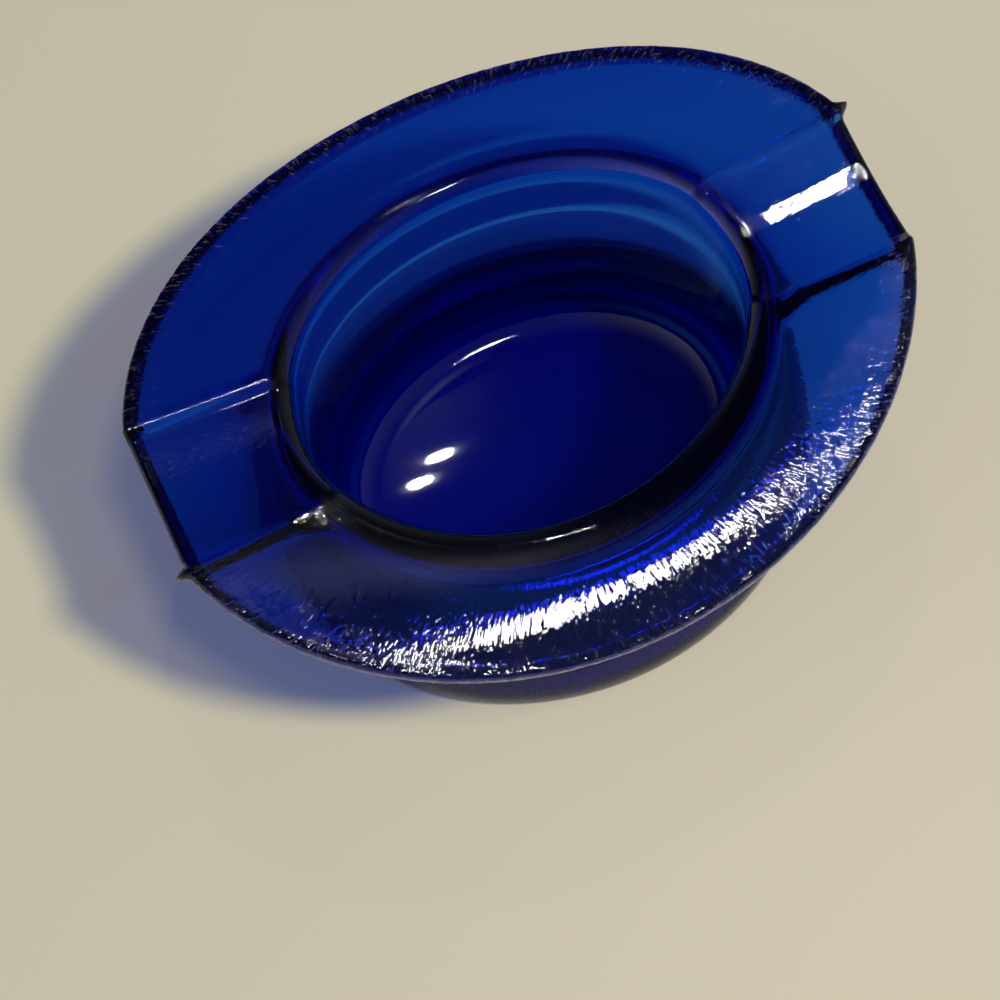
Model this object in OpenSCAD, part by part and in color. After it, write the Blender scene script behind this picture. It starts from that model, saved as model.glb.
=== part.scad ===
// Cobalt glass ashtray in the shape of an upturned hat, standing on its crown.
// X runs through the two cigarette rests, Z is up, and the crown stands on Z = 0.

/* [Brim] */
// Length of the brim's oval. The rests cut it a little shorter
brim_l = 90; // [84:1:110]
// Width of the brim's oval
brim_w = 71.8; // [66:0.2:90]
// Height of the brim's top at the rim, at the two ends
end_h = 44.6; // [42:0.2:50]
// Height of the brim's top at the rim, in the middle of the rolled sides
side_h = 37.2; // [33:0.2:40]
// Thickness of the brim where it leaves the crown
brim_t = 4.6; // [3.6:0.1:7]
// Thickness of the brim at its rim
rim_t = 4; // [3.4:0.1:6]
// How far the half-round of the rim stands out
rim_round = 0.9; // [0.6:0.1:2.4]
// How late the sides roll down: 1 is a straight slope, more bends near the rim
roll_power = 1.7; // [1:0.1:4]

/* [Crown] */
// Length of the foot that the crown stands on
foot_l = 66; // [60:1:74]
// Width of the foot
foot_w = 57; // [50:1:64]
// Length of the crown's outside just under the brim
neck_l = 56.4; // [55:0.2:62]
// Width of the crown's outside just under the brim
neck_w = 45.2; // [44:0.2:50]
// How low the crown flares out to its foot: 1 is a straight cone, more keeps the flare near the foot
flare_power = 6; // [1:0.5:8]
// Thickness of the flat crown top, which is the bowl's bottom
base_t = 5; // [3:0.5:10]

/* [Bowl] */
// Length of the bowl's wall just under the lip
mouth_l = 51.6; // [48:0.2:52.4]
// Width of the bowl's wall just under the lip
mouth_w = 40.4; // [39.8:0.2:41.4]
// Length of the flat part of the bowl's floor
floor_l = 36; // [30:0.5:36.5]
// Width of the flat part of the bowl's floor
floor_w = 24.8; // [20:0.2:25.2]
// Height of the lip in the middle of the sides
lip_side_h = 40.4; // [37.4:0.2:42]
// Height of the lip at the ends, beside the rests
lip_end_h = 43; // [41:0.2:44.4]
// Rounding of the lip
lip_r = 2; // [0.6:0.1:2.2]
// Rounding between the bowl's wall and its floor
floor_r = 7.5; // [2:0.1:7.8]

/* [Hat band] */
// Height of the raised band round the crown
band_h = 8; // [4:0.5:14]
// How far the band stands out of the crown
band_t = 0.6; // [0.4:0.1:1.6]

/* [Rests] */
// Width of a rest between its corners at the rim
rest_w = 17.8; // [12:0.2:22]
// How much narrower each side of a rest is at the crown
rest_flare = 0.8; // [0:0.1:2]
// Depth of the rest's hollow bottom, without the steps at its edges
rest_d = 1; // [0.6:0.1:1.8]
// Depth of the steps at the rim
step_d = 2; // [0.4:0.1:2.6]
// Depth of the steps at the crown
step_in = 0.6; // [0.2:0.1:1.4]
// Width of the sloping face of a step
step_w = 1.2; // [0.8:0.1:2]

/* [Hidden] */
glass = [0.03, 0.16, 0.62];
deep_glass = [0.02, 0.09, 0.42];

// Steps along a rolled side, across a rest, along the brim, over the rim, round a fillet and up the flare
side_steps = 40;
rest_steps = 10;
brim_steps = 7;
edge_steps = 3;
round_steps = 5;
flare_steps = 5;

// Turn of the rim's half-round up to its last step, and of the fillet at the bowl's floor
edge_turn = 80;
floor_turn = 80;

// Stations along the brim: a share of the way from the crown to the rim, then the turn over the half-round
crown = [0, 0];
rim = [1, 0];
brim_stations = [for (i = [0:brim_steps]) [i / brim_steps, 0]];
edge_stations = [for (i = [1:edge_steps]) [1, i / edge_steps * edge_turn]];
stations = concat(brim_stations, edge_stations);

// Half axes of the brim's oval at a station
rim_x = brim_l / 2 - rim_round * sin(edge_turn);
rim_y = brim_w / 2 - rim_round * sin(edge_turn);
function half_x(s) = neck_l / 2 + s[0] * (rim_x - neck_l / 2) + rim_round * sin(s[1]);
function half_y(s) = neck_w / 2 + s[0] * (rim_y - neck_w / 2) + rim_round * sin(s[1]);

// Saddle of the brim: the lip and the ends rise along X, and the sides roll down
function lip_z(a) = lip_side_h + (lip_end_h - lip_side_h) * pow(cos(a), 2);
function end_rise(u, a) = (end_h - lip_end_h) * pow(cos(a), 2) * u;
function side_roll(u, a) = (lip_side_h - side_h) * pow(sin(a), 2) * pow(u, roll_power);
function full_t(s) = brim_t + (rim_t - brim_t) * s[0];
function mid_z(s, a) = lip_z(a) + end_rise(s[0], a) - side_roll(s[0], a) - full_t(s) / 2;
function top_z(s, a) = mid_z(s, a) + full_t(s) * cos(s[1]) / 2;
function under_z(s, a) = mid_z(s, a) - full_t(s) * cos(s[1]) / 2;

// Half width of a rest, the angle of its edge on the oval, and how far out that edge lies
function rest_half(s) = rest_w / 2 - rest_flare * (1 - s[0]);
function edge_angle(s) = asin(rest_half(s) / half_y(s));
function edge_x(s) = half_x(s) * cos(edge_angle(s));

// Back side of the brim: v runs from 0 at the right rest to 1 at the left one
function side_angle(s, v) = edge_angle(s) + v * (180 - 2 * edge_angle(s));
function side_point(s, v, z) = [half_x(s) * cos(side_angle(s, v)), half_y(s) * sin(side_angle(s, v)), z];
function side_top(s, v) = side_point(s, v, top_z(s, side_angle(s, v)));
function side_under(s, v) = side_point(s, v, under_z(s, side_angle(s, v)));

// Right rest: v runs from -1 to 1 across it. It meets the oval crown, is cut straight at the rim, and sags
// through its whole thickness: a hollow bottom between two sloping steps
function crown_x(v) = half_x(crown) * sqrt(1 - pow(v * rest_half(crown) / half_y(crown), 2));
function out_share(s) = min(1, (edge_x(s) - edge_x(crown)) / (edge_x(rim) - edge_x(crown)));
function rest_x(s, v) = edge_x(s) + (crown_x(v) - crown_x(1)) * (1 - out_share(s));
flat_v = 1 - 2 * step_w / rest_w;
function step_at(s) = step_in + (step_d - step_in) * s[0];
function sag(s, v) = rest_d * (1 - pow(v, 2)) + step_at(s) * min(1, (1 - abs(v)) / (1 - flat_v));
function rest_point(s, v, z) = [rest_x(s, v), v * rest_half(s), z];
function rest_top(s, v) = rest_point(s, v, top_z(s, edge_angle(s)) - sag(s, v));
function rest_under(s, v) = rest_point(s, v, under_z(s, edge_angle(s)) - sag(s, v));

// Samples round the crown: the angle in plan, the angle that sets the height, and the rest's sag
flat_steps = [for (i = [0:rest_steps]) flat_v * (2 * i / rest_steps - 1)];
rest_v = concat([-1], flat_steps, [1]);
side_v = [for (i = [0:side_steps]) i / side_steps];
function all_but_last(list) = [for (i = [0:len(list) - 2]) list[i]];
function rest_samples(turn) = [for (v = all_but_last(rest_v))
    [turn + asin(v * rest_half(crown) / half_y(crown)), edge_angle(crown), sag(crown, v)]];
function side_samples(turn) = [for (v = all_but_last(side_v))
    [turn + side_angle(crown, v), side_angle(crown, v), 0]];
samples = concat(rest_samples(0), side_samples(0), rest_samples(180), side_samples(180));

// Points on the crown's section at a sample
function oval(l, w, p, z) = [l / 2 * cos(p[0]), w / 2 * sin(p[0]), z];
function neck_top(p) = top_z(crown, p[1]) - p[2];
function neck_under(p) = under_z(crown, p[1]) - p[2];
function band_low(p) = neck_under(p) - band_h;
function flare(p, z) = pow((neck_under(p) - z) / (neck_under(p) - base_t), flare_power);
function outside(p, z, out) = let (f = flare(p, z))
    oval(neck_l + (foot_l - neck_l) * f + 2 * out, neck_w + (foot_w - neck_w) * f + 2 * out, p, z);
function flare_z(p, i) = base_t + (band_low(p) - base_t) * pow(i / flare_steps, 2);
function lip_point(p, a) = let (out = lip_r * (1 - sin(a)))
    oval(mouth_l + 2 * out, mouth_w + 2 * out, p, neck_top(p) - lip_r * (1 - cos(a)));
function floor_point(p, a) = let (out = floor_r * sin(a))
    oval(floor_l + 2 * out, floor_w + 2 * out, p, base_t + floor_r * (1 - cos(a)));

function wall_section(p) = concat(
    [for (i = [0:flare_steps]) outside(p, flare_z(p, i), 0)],
    [outside(p, neck_under(p), 0), oval(neck_l, neck_w, p, neck_top(p))],
    [for (i = [0:round_steps]) lip_point(p, 90 * i / round_steps)],
    [for (i = [round_steps:-1:0]) floor_point(p, floor_turn * i / round_steps)]);
function band_section(p) = [
    outside(p, band_low(p), 0), outside(p, band_low(p), band_t),
    outside(p, neck_under(p), band_t), outside(p, neck_under(p), 0)];

// Two triangles across four corners
function quad(a, b, c, d) = [[a, b, c], [a, c, d]];

// Solid ring swept through closed sections of equal length
module ring(sections) {
    n = len(sections);
    m = len(sections[0]);
    function at(j, k) = (j % n) * m + k % m;
    faces = [for (j = [0:n - 1]) for (k = [0:m - 1])
        each quad(at(j, k), at(j, k + 1), at(j + 1, k + 1), at(j + 1, k))];
    polyhedron([for (s = sections) each s], faces, convexity = 6);
}

// Solid between an upper and a lower grid of points: rows go round the brim, columns go out along it
module leaf(upper, lower) {
    rows = len(upper);
    cols = len(upper[0]);
    under = rows * cols;
    function at(j, k) = j * cols + k;
    tops = [for (j = [0:rows - 2]) for (k = [0:cols - 2])
        each quad(at(j, k), at(j + 1, k), at(j + 1, k + 1), at(j, k + 1))];
    unders = [for (f = tops) [f[2] + under, f[1] + under, f[0] + under]];
    inner = [for (j = [0:rows - 2]) let (a = at(j, 0), b = at(j + 1, 0))
        each quad(a, a + under, b + under, b)];
    outer = [for (j = [0:rows - 2]) let (a = at(j, cols - 1), b = at(j + 1, cols - 1))
        each quad(a, b, b + under, a + under)];
    first = [for (k = [0:cols - 2]) let (a = at(0, k), b = at(0, k + 1))
        each quad(a, b, b + under, a + under)];
    last = [for (k = [0:cols - 2]) let (a = at(rows - 1, k), b = at(rows - 1, k + 1))
        each quad(b, a, a + under, b + under)];
    points = concat([for (row = upper) each row], [for (row = lower) each row]);
    polyhedron(points, concat(tops, unders, inner, outer, first, last), convexity = 6);
}

module brim_side() {
    leaf([for (v = side_v) [for (s = stations) side_top(s, v)]],
        [for (v = side_v) [for (s = stations) side_under(s, v)]]);
}

module rest() {
    leaf([for (v = rest_v) [for (s = stations) rest_top(s, v)]],
        [for (v = rest_v) [for (s = stations) rest_under(s, v)]]);
}

// Flat top of the crown, which the ashtray stands on
module crown_base() {
    foot = [for (p = samples) oval(foot_l, foot_w, p, 0)];
    color(deep_glass) linear_extrude(base_t) polygon([for (q = foot) [q.x, q.y]]);
}

// Wall of the crown with the bowl inside it
module crown_wall() {
    color(deep_glass) ring([for (p = samples) wall_section(p)]);
}

// Raised band round the crown, close under the brim
module hat_band() {
    color(deep_glass) ring([for (p = samples) band_section(p)]);
}

module brim_back() {
    color(glass) brim_side();
}

module brim_front() {
    color(glass) rotate(180) brim_side();
}

module rest_right() {
    color(glass) rest();
}

module rest_left() {
    color(glass) rotate(180) rest();
}

crown_base();
crown_wall();
hat_band();
brim_front();
brim_back();
rest_left();
rest_right();
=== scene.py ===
import math

import bpy
import numpy as np
from mathutils import Matrix, Vector, noise


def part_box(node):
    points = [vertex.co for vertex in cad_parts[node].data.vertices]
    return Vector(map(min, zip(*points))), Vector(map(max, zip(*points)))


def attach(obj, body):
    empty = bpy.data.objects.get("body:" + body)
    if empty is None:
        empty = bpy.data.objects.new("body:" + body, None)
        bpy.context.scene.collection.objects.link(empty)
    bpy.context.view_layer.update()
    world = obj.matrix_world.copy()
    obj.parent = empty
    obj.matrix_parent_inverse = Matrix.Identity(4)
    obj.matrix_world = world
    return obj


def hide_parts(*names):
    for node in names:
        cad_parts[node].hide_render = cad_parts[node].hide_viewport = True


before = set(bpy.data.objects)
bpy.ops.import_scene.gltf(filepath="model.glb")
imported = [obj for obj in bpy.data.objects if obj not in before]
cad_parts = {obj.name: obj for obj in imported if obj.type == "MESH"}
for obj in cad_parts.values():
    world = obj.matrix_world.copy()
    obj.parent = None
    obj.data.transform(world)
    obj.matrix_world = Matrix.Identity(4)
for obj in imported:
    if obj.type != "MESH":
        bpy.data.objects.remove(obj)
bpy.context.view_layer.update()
scene = bpy.context.scene
scene.view_settings.view_transform = "Standard"
mm = 0.001
quarter = math.pi / 2
print("frame loaded:", sorted(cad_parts))


class Wire:
    # a shader socket that can be used in Python sums
    def __init__(self, maker, socket):
        self.maker = maker
        self.socket = socket

    def calc(self, operation, first, second):
        return self.maker.add("ShaderNodeMath", {"operation": operation}, {0: first, 1: second})

    def __add__(self, other):
        return self.calc("ADD", self, other)

    def __radd__(self, other):
        return self.calc("ADD", other, self)

    def __sub__(self, other):
        return self.calc("SUBTRACT", self, other)

    def __rsub__(self, other):
        return self.calc("SUBTRACT", other, self)

    def __mul__(self, other):
        return self.calc("MULTIPLY", self, other)

    def __rmul__(self, other):
        return self.calc("MULTIPLY", other, self)

    def __truediv__(self, other):
        return self.calc("DIVIDE", self, other)

    def __rtruediv__(self, other):
        return self.calc("DIVIDE", other, self)

    def __pow__(self, other):
        return self.calc("POWER", self, other)

    def __rpow__(self, other):
        return self.calc("POWER", other, self)

    def atLeast(self, low):
        return self.calc("MAXIMUM", self, low)

    def above(self, level):
        return self.calc("GREATER_THAN", self, level)


class Finish:
    # the nodes of one material or of the world
    def __init__(self, owner):
        self.owner = owner
        owner.use_nodes = True
        self.nodes = owner.node_tree.nodes
        self.links = owner.node_tree.links
        self.nodes.clear()

    def add(self, kind, settings=None, sockets=None, out=0):
        node = self.nodes.new(kind)
        for name, value in (settings or {}).items():
            setattr(node, name, value)
        for name, value in (sockets or {}).items():
            if isinstance(value, Wire):
                self.links.new(value.socket, node.inputs[name])
            else:
                node.inputs[name].default_value = value
        return Wire(self, node.outputs[out]) if node.outputs else None


def deselectAll():
    if bpy.context.object and bpy.context.object.mode != "OBJECT":
        bpy.ops.object.mode_set(mode="OBJECT")
    bpy.ops.object.select_all(action="DESELECT")


def fullSize(node, axis):  # size of a solid along one axis, in millimetres
    low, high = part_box(node)
    return (high[axis] - low[axis]) / mm


def between(first, last, share):
    return first + (last - first) * share


def ease(value, first, last):  # 0 up to first, 1 from last on
    return np.clip((value - first) / (last - first), 0, 1)


def smooth(share):  # level at both ends
    return share * share * (3 - 2 * share)


def steps(first, last, count):  # even steps, without the first place
    return np.linspace(first, last, count + 1)[1:]


# Sizes of the hat in millimetres. What can be measured on the solids is read from them
hat = {
    "brimL": 90.8, "brimT": 4.3,
    "brimW": 2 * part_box("brim_back")[1][1] / mm + 0.8,  # more than on the solids, as the rim tucks in
    "endH": 44.6, "sideH": 37.2, "rollPower": 1.7,  # heights of the rim at the rests and at its long sides
    "rimRound": 1, "rimTuck": 1.5,  # round of the rim, and how far it draws in below
    "footL": fullSize("crown_base", 0), "footW": fullSize("crown_base", 1), "footRound": 1.2,
    "baseT": fullSize("crown_base", 2), "dish": 0.9,
    "neckL": 56.4, "neckW": 45.2, "neckFillet": 1.6, "flarePower": 6,
    "mouthL": 51.6, "mouthW": 40.4, "lipSideH": 40.4, "lipEndH": 43, "lipR": 2,
    "floorL": 41, "floorW": 29.8, "floorR": 5,
    "bandH": 8, "bandT": 0.6, "bandEdge": 1,
    "restW": fullSize("rest_right", 1), "restFlare": 0.8, "restD": 1.2, "restUnderD": 0.7,
    "stepW": 1.2, "stepIn": 0.3, "stepD": 0.8, "stepBow": 0.4,  # steps of a rest, from crown to rim
    "stepRound": 0.35,  # share of the left rest's step that rounds over at its top
    "slopeIn": 1.6, "slopeInW": 4.2, "slopeD": 1, "slopeW": 2.6,  # slopes under them, from crown to rim
    "slopeReach": 0.7,  # cosine of the angle round the hat that the slopes stay within
    "facetY": 1.5, "facetHalf": 1.1,  # narrow flat along the right rest
    "curl": 0.12, "curlFrom": 0.5,  # upward curl of the right rest, toward both ends from its middle
    "flatColumns": 52, "stepColumns": 8, "sideColumns": 280,
}
# Rings of the mesh in each stretch of its profile
ringCount = {
    "sole": 3, "footEdge": 4, "crown": 12, "bandEdge": 4, "band": 3, "fillet": 4,
    "under": 9, "rimLow": 7, "rimHigh": 8, "top": 46,
    "neck": 2, "lip": 10, "bowl": 8, "floorEdge": 8, "floor": 5,
}
# Stipple of the pressing: places, strengths on each stretch, and the mould's marks in millimetres
stipple = {
    "frontStart": 0.4, "backStart": 0.72, "fade": 0.1,  # shares of the way from the crown to the rim
    "outerStart": 0.68, "outerFull": 0.8, "edgeStart": 0.9,
    "frontFrom": -0.475, "frontFull": -0.725, "nearFull": -0.5,  # sines of the angle round the hat
    "leftFrom": 0.25, "leftFull": -0.25,  # cosines of it
    "foot": 0.6, "under": 0.2, "underFront": 0.1, "neck": 0.05, "bowl": 0.12, "floorEdge": 0.15,
    "leaf": 0.06, "rollLeft": 0.22, "rollMiddle": 0.6, "rollGrowth": 1.1, "rollRight": 1,
    "outer": 1.2, "outerLess": 0.5, "edge": 3, "rim": 4, "restRim": 1, "leftRest": 0.2, "rightRest": 0.15,
    "rimDeep": 0.05, "rimFrom": 3.2, "rollDeep": 0.006, "cell": 1.3, "waveDeep": 0.012, "waveCell": 7,
    "strokesRound": 2.8, "strokesOut": 1,  # marks to the millimetre, round the rim and out along the brim
    "spike": 1.2, "spikeWide": 0.55, "spikeAim": (0.97, 0.25),  # flash left at two corners of the rests
}


class HatShape:
    # points of the hat in millimetres, one array entry for each column round it
    def __init__(self, sizes):
        self.__dict__.update(sizes)
        self.rimX = self.brimL / 2 - self.rimRound
        self.rimY = self.brimW / 2 - self.rimRound
        self.rows = []
        self.grades = []
        self.spreadColumns()
        self.shapeRests()
        self.gradeBrim()

    def spreadColumns(self):  # right rest, far side, left rest, near side
        self.flat = 1 - 2 * self.stepW / self.restW
        stepV = np.linspace(self.flat, 1, self.stepColumns + 1)
        flatV = np.linspace(-self.flat, self.flat, self.flatColumns + 1)
        self.restV = np.concatenate([-stepV[:0:-1], flatV[:-1], stepV[:-1]])
        self.sideV = np.arange(self.sideColumns) / self.sideColumns
        edge = self.edgeAngle(0)
        turns = np.arcsin(self.restV * self.restHalf(0) / self.halfY(0, 0))
        sides = edge + self.sideV * (math.pi - 2 * edge)
        self.plan = np.concatenate([turns, sides, math.pi + turns, math.pi + sides])
        self.tall = np.concatenate([np.full(len(turns), edge), sides] * 2)
        self.inRest = np.concatenate([np.ones(len(turns), bool), np.zeros(len(sides), bool)] * 2)
        self.onRight = np.cos(self.plan) > 0
        self.crownX = self.halfX(0, 0) * math.cos(edge)
        self.crownBow = self.halfX(0, 0) * np.cos(turns) - self.crownX
        self.rimEdgeX = self.halfX(1, 0) * math.cos(self.edgeAngle(1))

    def shapeRests(self):  # the steps are crisp on the right and rounded on the left
        level = np.zeros(self.sideColumns)
        self.hollow = np.concatenate([1 - self.restV ** 2, level] * 2)
        crisp = np.minimum(1, (1 - np.abs(self.restV)) / (1 - self.flat))
        over = self.stepRound
        rounded = np.where(crisp < over, crisp ** 2 / (2 * over), crisp - over / 2) / (1 - over / 2)
        self.step = np.concatenate([crisp, level, rounded, level])
        away = (self.restV * self.restW / 2 - self.facetY) / self.facetHalf
        facet = self.restD * (2 * self.facetHalf / self.restW) ** 2 * np.clip(1 - away ** 2, 0, 1)
        self.facet = np.concatenate([facet, level, 0 * facet, level])
        self.nearRest = np.abs(np.cos(self.plan)) > self.slopeReach

    def gradeBrim(self):  # in front the stipple starts nearer the crown, and it is weaker at the left
        x = np.cos(self.plan)
        y = np.sin(self.plan)
        self.front = ease(y, 0, stipple["nearFull"])
        self.roll = np.clip(stipple["rollMiddle"] + stipple["rollGrowth"] * x,
                            stipple["rollLeft"], stipple["rollRight"])
        left = ease(x, stipple["leftFrom"], stipple["leftFull"])
        self.outer = stipple["outer"] - stipple["outerLess"] * self.front * left
        self.start = between(stipple["backStart"], stipple["frontStart"],
                             ease(y, stipple["frontFrom"], stipple["frontFull"]))

    def halfX(self, share, turn):
        return between(self.neckL / 2, self.rimX, share) + self.rimRound * math.sin(turn)

    def halfY(self, share, turn):
        return between(self.neckW / 2, self.rimY, share) + self.rimRound * math.sin(turn)

    def restHalf(self, share):
        return self.restW / 2 - self.restFlare * (1 - share)

    def edgeAngle(self, share):
        return math.asin(self.restHalf(share) / self.halfY(share, 0))

    def midZ(self, share, tall):  # middle of the brim's thickness
        lip = between(self.lipSideH, self.lipEndH, np.cos(tall) ** 2)
        rise = (self.endH - self.lipEndH) * np.cos(tall) ** 2 * share
        roll = (self.lipSideH - self.sideH) * np.sin(tall) ** 2 * share ** self.rollPower
        return lip + rise - roll - self.brimT / 2

    def sag(self, share):  # of the rests' upper side
        out = share * (1 + self.stepBow - self.stepBow * share)
        step = between(self.stepIn, self.stepD, out) * self.step
        curl = self.curl * (share - self.curlFrom) ** 2 * self.hollow * self.onRight
        return self.restD * self.hollow + step - self.facet - curl

    def underSag(self, share, y):  # of the rests' lower side, for points at y
        deep = between(self.slopeIn, self.slopeD, share)
        wide = between(self.slopeInW, self.slopeW, share)
        inward = np.clip(0.5 + (self.restHalf(share) - np.abs(y)) / wide, 0, 1)
        return self.restUnderD * self.hollow + deep * smooth(inward) * self.nearRest

    # share goes from crown to rim, turn over the rim's half-round, and side is 1 on top and -1 below
    def brimRing(self, share, turn, side):
        upper = (1 + side * math.cos(turn)) / 2
        tuck = self.rimTuck * share * (1 - upper)
        halfX = self.halfX(share, turn) - tuck
        halfY = self.halfY(share, turn) - tuck
        edge = math.asin(self.restHalf(share) / halfY)
        sides = edge + self.sideV * (math.pi - 2 * edge)
        sideX = halfX * np.cos(sides)
        sideY = halfY * np.sin(sides)
        edgeX = halfX * math.cos(edge)
        out = min(1, (edgeX - self.crownX) / (self.rimEdgeX - self.crownX))
        restX = edgeX + self.crownBow * (1 - out)
        restY = self.restV * self.restHalf(share)
        x = np.concatenate([restX, sideX, -restX, -sideX])
        y = np.concatenate([restY, sideY, -restY, -sideY])
        tall = np.concatenate([np.full(len(restX), edge), sides] * 2)
        sag = between(self.underSag(share, y), self.sag(share), upper)
        return np.stack([x, y, self.midZ(share, tall) + (upper - 0.5) * self.brimT - sag], 1)

    def oval(self, length, width, z):
        x = length / 2 * np.cos(self.plan)
        y = width / 2 * np.sin(self.plan)
        return np.stack([x, y, z + 0 * x], 1)

    def ovalBetween(self, first, last, share):
        return self.oval(*(between(low, high, share) for low, high in zip(first, last)))

    def neckUnder(self):  # height of the brim's lower side at the crown
        y = self.neckW / 2 * np.sin(self.plan)
        return self.midZ(0, self.tall) - self.brimT / 2 - self.underSag(0, y)

    def outside(self, z, out):  # ring of the crown at height z, moved outwards
        under = self.neckUnder()
        flare = np.clip((under - z) / (under - self.baseT), 0, None) ** self.flarePower
        return self.oval(between(self.neckL, self.footL, flare) + 2 * out,
                         between(self.neckW, self.footW, flare) + 2 * out, z)

    def put(self, points, grade=0.0):  # grade: how strong the stipple is on this ring
        self.rows.append(points)
        self.grades.append(grade + np.zeros(len(points)))

    def crown(self):
        under = self.neckUnder()
        soleL = self.footL - 2 * self.footRound
        soleW = self.footW - 2 * self.footRound
        for share in np.linspace(0, 1, ringCount["sole"] + 1):
            self.put(self.oval(share * soleL, share * soleW, 0), stipple["foot"])
        for turn in steps(0, quarter, ringCount["footEdge"]):
            out = 2 * self.footRound * math.sin(turn)
            self.put(self.oval(soleL + out, soleW + out, self.footRound * (1 - math.cos(turn))))
        self.put(self.oval(self.footL, self.footW, self.baseT))
        bandLow = self.midZ(0, self.tall) - self.brimT / 2 - self.bandH - self.bandEdge / 2
        for share in steps(0, 1, ringCount["crown"]):
            self.put(self.outside(between(self.baseT, bandLow, share), 0))
        for share in steps(0, 1, ringCount["bandEdge"]):
            self.put(self.outside(bandLow + self.bandEdge * share, self.bandT * smooth(share)))
        bandHigh = under - self.neckFillet
        for share in steps(0, 1, ringCount["band"]):
            self.put(self.outside(between(bandLow + self.bandEdge, bandHigh, share), self.bandT))
        for turn in steps(0, quarter, ringCount["fillet"]):
            self.put(self.outside(bandHigh + self.neckFillet * math.sin(turn),
                                  self.bandT + self.neckFillet * (1 - math.cos(turn))))

    def brim(self):
        first = (self.bandT + self.neckFillet) / (self.rimY - self.neckW / 2)
        for share in steps(first, 1, ringCount["under"]):
            self.put(self.brimRing(share, 0, -1), stipple["under"] + stipple["underFront"] * self.front)
        for turn in steps(0, quarter, ringCount["rimLow"]):
            grade = np.where(self.inRest, stipple["restRim"], stipple["rim"] * math.sin(turn))
            self.put(self.brimRing(1, turn, -1), grade)
        for turn in steps(quarter, 0, ringCount["rimHigh"]):
            self.put(self.brimRing(1, turn, 1), np.where(self.inRest, stipple["restRim"], stipple["rim"]))
        self.topRow = len(self.rows) - 1
        rests = np.where(self.onRight, stipple["rightRest"], stipple["leftRest"])
        for share in steps(1, 0, ringCount["top"]):
            begun = ease(share, self.start, self.start + stipple["fade"])
            outer = self.outer * ease(share, stipple["outerStart"], stipple["outerFull"])
            edge = stipple["edge"] * ease(share, stipple["edgeStart"], 1)
            sides = stipple["leaf"] + begun * (self.roll + outer) + edge
            self.put(self.brimRing(share, 0, 1), np.where(self.inRest, rests, sides))
        self.lastRow = len(self.rows) - 1

    def bowl(self):
        top = self.midZ(0, self.tall) + self.brimT / 2 - self.sag(0)
        neck = (self.neckL, self.neckW, top)
        lip = (self.mouthL + 2 * self.lipR, self.mouthW + 2 * self.lipR, top)
        mouth = (self.mouthL, self.mouthW, top - self.lipR)
        corner = (self.floorL + 2 * self.floorR, self.floorW + 2 * self.floorR, self.baseT + self.floorR)
        for share in steps(0, 1, ringCount["neck"]):
            self.put(self.ovalBetween(neck, lip, share), stipple["neck"])
        for turn in steps(0, quarter, ringCount["lip"]):
            out = 2 * self.lipR * (1 - math.sin(turn))
            z = top - self.lipR * (1 - math.cos(turn))
            self.put(self.oval(self.mouthL + out, self.mouthW + out, z), stipple["bowl"])
        for share in steps(0, 1, ringCount["bowl"]):
            self.put(self.ovalBetween(mouth, corner, share), stipple["bowl"])
        for turn in steps(quarter, 0, ringCount["floorEdge"]):
            out = 2 * self.floorR * math.sin(turn)
            z = self.baseT + self.floorR * (1 - math.cos(turn))
            grade = stipple["floorEdge"] * math.sin(turn)
            self.put(self.oval(self.floorL + out, self.floorW + out, z), grade)
        for share in steps(1, 0, ringCount["floor"]):
            z = self.baseT - self.dish * (1 - share * share)
            self.put(self.oval(self.floorL * share, self.floorW * share, z))

    def rings(self):
        self.crown()
        self.brim()
        self.bowl()
        return np.array(self.rows), np.array(self.grades)


def pressed(rings, grades):  # the mould's stipple, slow waves of the glass, and flash at two corners
    out = np.cross(np.roll(rings, -1, 1) - np.roll(rings, 1, 1), np.gradient(rings, axis=0))
    out /= np.maximum(np.linalg.norm(out, axis=2, keepdims=True), 1e-9)
    deep = np.where(grades > stipple["rimFrom"], stipple["rimDeep"], stipple["rollDeep"] * grades)
    for row, column in zip(*np.nonzero(rings[:, :, 2] > hat["baseT"])):
        point = Vector(rings[row, column])
        lift = deep[row, column] * noise.noise(point / stipple["cell"])
        lift += stipple["waveDeep"] * noise.noise(point / stipple["waveCell"])
        rings[row, column] += out[row, column] * lift
    for side in (1, -1):
        corner = side * np.array([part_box("brim_back")[1][0] / mm, hat["restW"] / 2])
        away = np.linalg.norm(rings[:, :, :2] - corner, axis=2)
        push = stipple["spike"] * np.exp(-(away / stipple["spikeWide"]) ** 2)
        push *= rings[:, :, 2] > hat["sideH"]
        rings[:, :, :2] += push[:, :, None] * side * np.array(stipple["spikeAim"])
    return rings


def grainPlaces(rings):  # where each point lies round the rim and along its column, as places in a noise
    rim = rings[np.argmax(rings[:, 0, 0])]
    gaps = np.linalg.norm(np.roll(rim, -1, 0) - rim, axis=1)
    length = gaps.sum()
    turn = 2 * math.pi * (np.cumsum(gaps) - gaps) / length
    radius = length / (2 * math.pi) * stipple["strokesRound"]
    along = np.cumsum(np.linalg.norm(np.diff(rings, axis=0, prepend=rings[:1]), axis=2), axis=0)
    places = np.empty(rings.shape)
    places[:, :, 0] = radius * np.cos(turn)
    places[:, :, 1] = radius * np.sin(turn)
    places[:, :, 2] = along * stipple["strokesOut"]
    return places


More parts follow.
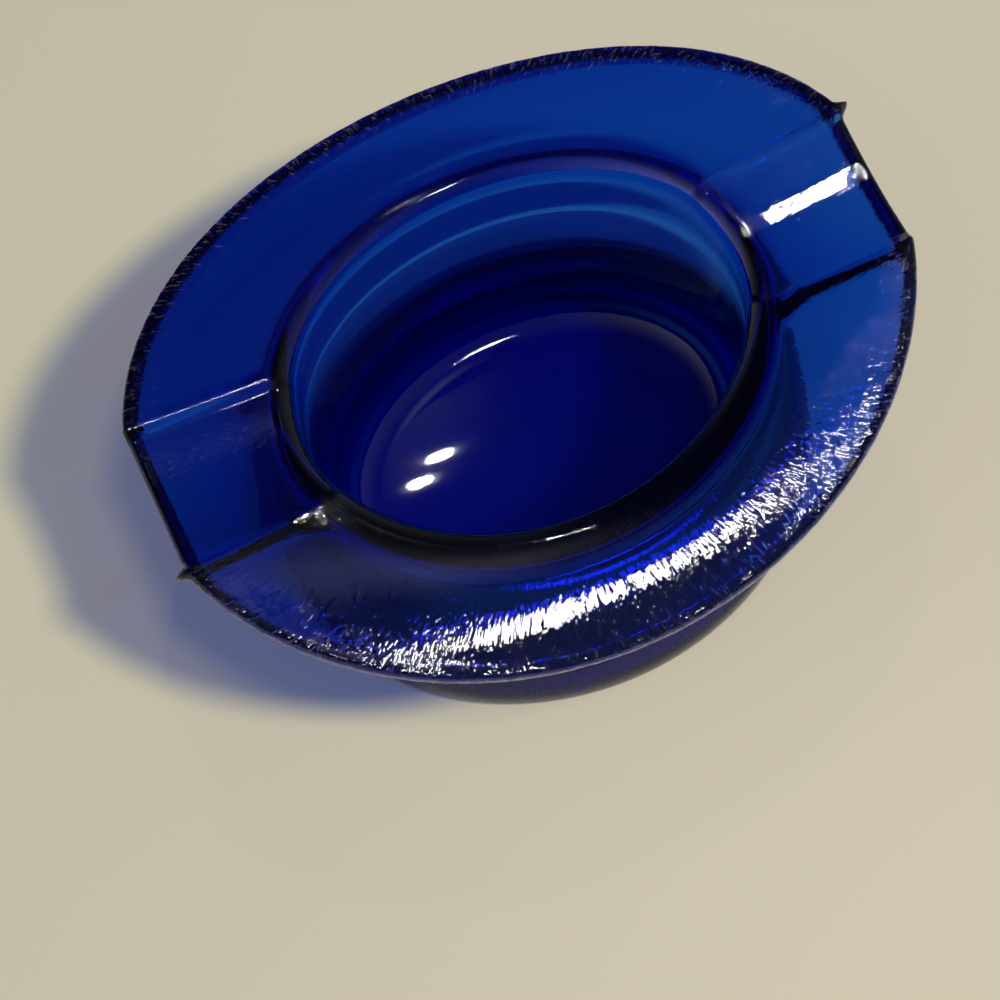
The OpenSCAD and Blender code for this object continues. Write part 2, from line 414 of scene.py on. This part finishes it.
def buildHat():
    shape = HatShape(hat)
    rings, grades = shape.rings()
    places = grainPlaces(rings)
    rings = pressed(rings, grades)
    rows, columns = rings.shape[:2]
    deselectAll()
    bpy.ops.mesh.primitive_grid_add(x_subdivisions=columns, y_subdivisions=rows - 1, size=1)
    piece = bpy.context.object
    piece.name = "hat_glass"
    mesh = piece.data
    grid = np.empty(len(mesh.vertices) * 3)
    mesh.vertices.foreach_get("co", grid)
    grid = grid.reshape(-1, 3)
    column = np.rint((grid[:, 0] + 0.5) * columns).astype(int) % columns
    row = np.rint((grid[:, 1] + 0.5) * (rows - 1)).astype(int)
    mesh.vertices.foreach_set("co", (rings[row, column] * mm).ravel())
    strength = mesh.attributes.new("stipple", "FLOAT", "POINT")
    strength.data.foreach_set("value", grades[row, column])
    grain = mesh.attributes.new("grain", "FLOAT_VECTOR", "POINT")
    grain.data.foreach_set("vector", places[row, column].ravel())
    ends = np.empty(len(mesh.edges) * 2, int)
    mesh.edges.foreach_get("vertices", ends)
    ends = ends.reshape(-1, 2)
    onTop = ((row[ends] >= shape.topRow) & (row[ends] <= shape.lastRow)).all(1)
    crisp = np.zeros(len(ends), bool)  # the four lines of the right rest's steps
    step = hat["stepColumns"]
    for line in (0, step, step + hat["flatColumns"], 2 * step + hat["flatColumns"]):
        crisp |= onTop & (column[ends] == line).all(1)
    mesh.attributes.new("sharp_edge", "BOOLEAN", "EDGE").data.foreach_set("value", crisp)
    mesh.update()
    bpy.ops.object.mode_set(mode="EDIT")
    bpy.ops.mesh.select_all(action="SELECT")
    bpy.ops.mesh.remove_doubles(threshold=1e-6)  # closes the seam and the two poles
    bpy.ops.mesh.normals_make_consistent(inside=False)
    bpy.ops.object.mode_set(mode="OBJECT")
    bpy.ops.object.shade_smooth()
    print("hat:", len(mesh.vertices), "vertices,", len(mesh.polygons), "faces")
    return piece


# Cobalt glass: the tint deepens with thickness, and the shade is what each side lets through to the table
glass = {
    "roughness": 0.02, "ior": 1.52, "shade": (0.84, 0.84, 0.84, 1),
    "tint": (0.04, 0.56, 0.94, 1), "density": 1300,
    "ripple": 0.35, "marks": 3, "marksFrom": 0.6, "marksScale": 0.83, "relief": 0.00007,
}


def cobaltGlass():
    finish = Finish(bpy.data.materials.new("cobalt glass"))
    place = finish.add("ShaderNodeAttribute", {"attribute_name": "grain"}, out="Vector")
    deep = finish.add("ShaderNodeAttribute", {"attribute_name": "stipple"}, out="Fac")
    ripple = finish.add("ShaderNodeTexNoise", None, {
        "Vector": place, "Scale": 1, "Detail": 1, "Roughness": 0.5})
    spread = finish.add("ShaderNodeTexNoise", None, {
        "Vector": place, "Scale": glass["marksScale"], "Detail": 0})
    marks = (spread - glass["marksFrom"]).atLeast(0)
    grain = (glass["ripple"] * ripple + glass["marks"] * marks) * deep
    relief = finish.add("ShaderNodeBump", None, {
        "Height": grain, "Strength": 1, "Distance": glass["relief"]})
    body = finish.add("ShaderNodeBsdfPrincipled", None, {
        "Base Color": (1, 1, 1, 1), "Roughness": glass["roughness"], "IOR": glass["ior"],
        "Transmission Weight": 1, "Normal": relief})
    through = finish.add("ShaderNodeBsdfTransparent", None, {"Color": glass["shade"]})
    lampRay = finish.add("ShaderNodeLightPath", out="Is Shadow Ray")
    tableRay = finish.add("ShaderNodeLightPath", out="Is Diffuse Ray")
    surface = finish.add("ShaderNodeMixShader", None, {0: lampRay.atLeast(tableRay), 1: body, 2: through})
    depth = finish.add("ShaderNodeVolumeAbsorption", None, {
        "Color": glass["tint"], "Density": glass["density"]})
    finish.add("ShaderNodeOutputMaterial", None, {"Surface": surface, "Volume": depth})
    print("glass:", len(finish.nodes), "nodes")
    return finish.owner


piece = buildHat()
piece.data.materials.clear()
piece.data.materials.append(cobaltGlass())
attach(piece, "root")
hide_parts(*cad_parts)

# Table in metres, a hair below the foot
tableTop = {"size": 4, "drop": 0.00005, "colour": (0.58, 0.54, 0.42, 1), "roughness": 0.8}


def layTable():
    deselectAll()
    bpy.ops.mesh.primitive_plane_add(size=tableTop["size"], location=(0, 0, -tableTop["drop"]))
    table = bpy.context.object
    table.name = "table"
    finish = Finish(bpy.data.materials.new("table"))
    cloth = finish.add("ShaderNodeBsdfPrincipled", None, {
        "Base Color": tableTop["colour"], "Roughness": tableTop["roughness"]})
    finish.add("ShaderNodeOutputMaterial", None, {"Surface": cloth})
    table.data.materials.append(finish.owner)
    print("table:", tableTop["size"], "m wide")
    return table


table = layTable()

# Room: bright above the front and at both sides, dark behind, with a soft pale patch of ceiling at the right
room = {
    "colour": (0.92, 0.96, 1, 1), "dim": 0.02, "front": 0.25, "frontFrom": 0.1, "frontPower": 3,
    "sides": 0.75, "rightLess": 0.45,
    "patch": 0.6, "patchX": 0.16, "patchY": 0.12, "patchWideX": 0.045, "patchWideY": 0.1,
}


def lightRoom():
    world = bpy.data.worlds.new("room")
    scene.world = world
    finish = Finish(world)
    ray = finish.add("ShaderNodeTexCoord", out="Generated")
    ways = [finish.add("ShaderNodeSeparateXYZ", None, {0: ray}, out=axis) for axis in "XYZ"]
    across, depth, height = ways
    front = (room["frontFrom"] - depth).atLeast(0) * height.atLeast(0) ** room["frontPower"]
    sides = (room["sides"] - room["rightLess"] * across) * across * across
    aside = (across - room["patchX"]) / room["patchWideX"]
    behind = (depth - room["patchY"]) / room["patchWideY"]
    patch = math.e ** (-1 * (aside * aside + behind * behind)) * height.above(0)
    glow = room["dim"] + room["front"] * front + sides + room["patch"] * patch
    sky = finish.add("ShaderNodeBackground", None, {"Color": room["colour"], "Strength": glow})
    finish.add("ShaderNodeOutputWorld", None, {"Surface": sky})
    print("room:", len(finish.nodes), "nodes")


lampAim = Vector((0, 0, 0.02))


def addLamp(name, place, size, power, colour):
    light = bpy.data.lights.new(name, "AREA")
    light.shape = "DISK"
    light.size = size
    light.energy = power
    light.color = colour
    lamp = bpy.data.objects.new(name, light)
    scene.collection.objects.link(lamp)
    lamp.location = place
    lamp.rotation_euler = (lampAim - Vector(place)).to_track_quat("-Z", "Y").to_euler()
    print("lamp:", name, power, "W")
    return lamp


lightRoom()
key = addLamp("key", (0.25, -0.326, 0.771), 0.085, 5.6, (1, 0.96, 0.9))
key.visible_glossy = False  # the key casts the shadow, and the front lamp gives the shine
key.visible_transmission = False
addLamp("front", (0.08, -0.24, 0.872), 0.09, 1.2, (1, 0.98, 0.95))
addLamp("spark_1", (0.094, 0.197, 0.681), 0.009, 0.07, (1, 1, 1))
addLamp("spark_2", (0.105, 0.217, 0.681), 0.009, 0.07, (1, 1, 1))

# Camera of the photograph: angles in degrees, distances in metres, lens and sensor in millimetres
camera = {
    "elevation": 69.401, "roll": -13.805, "azimuth": 11.693,
    "distance": 0.371797, "aimX": -0.006177, "aimZ": -0.00454,
    "lens": 108, "sensor": 36, "near": 0.01,
}


def addCamera():
    elevation, roll, azimuth = (math.radians(camera[angle]) for angle in ("elevation", "roll", "azimuth"))
    forward = Vector((0, math.cos(elevation), -math.sin(elevation)))
    level = Vector((1, 0, 0))
    upright = level.cross(forward)
    right = math.cos(roll) * level + math.sin(roll) * upright
    up = -math.sin(roll) * level + math.cos(roll) * upright
    place = Vector((camera["aimX"], 0, camera["aimZ"])) - forward * camera["distance"]
    basis = Matrix((right, up, -forward)).transposed().to_4x4()
    data = bpy.data.cameras.new("camera")
    data.lens = camera["lens"]
    data.sensor_width = camera["sensor"]
    data.clip_start = camera["near"]
    eye = bpy.data.objects.new("camera", data)
    scene.collection.objects.link(eye)
    eye.matrix_world = Matrix.Rotation(-azimuth, 4, "Z") @ Matrix.Translation(place) @ basis
    scene.camera = eye
    print("camera:", camera["lens"], "mm lens")


addCamera()
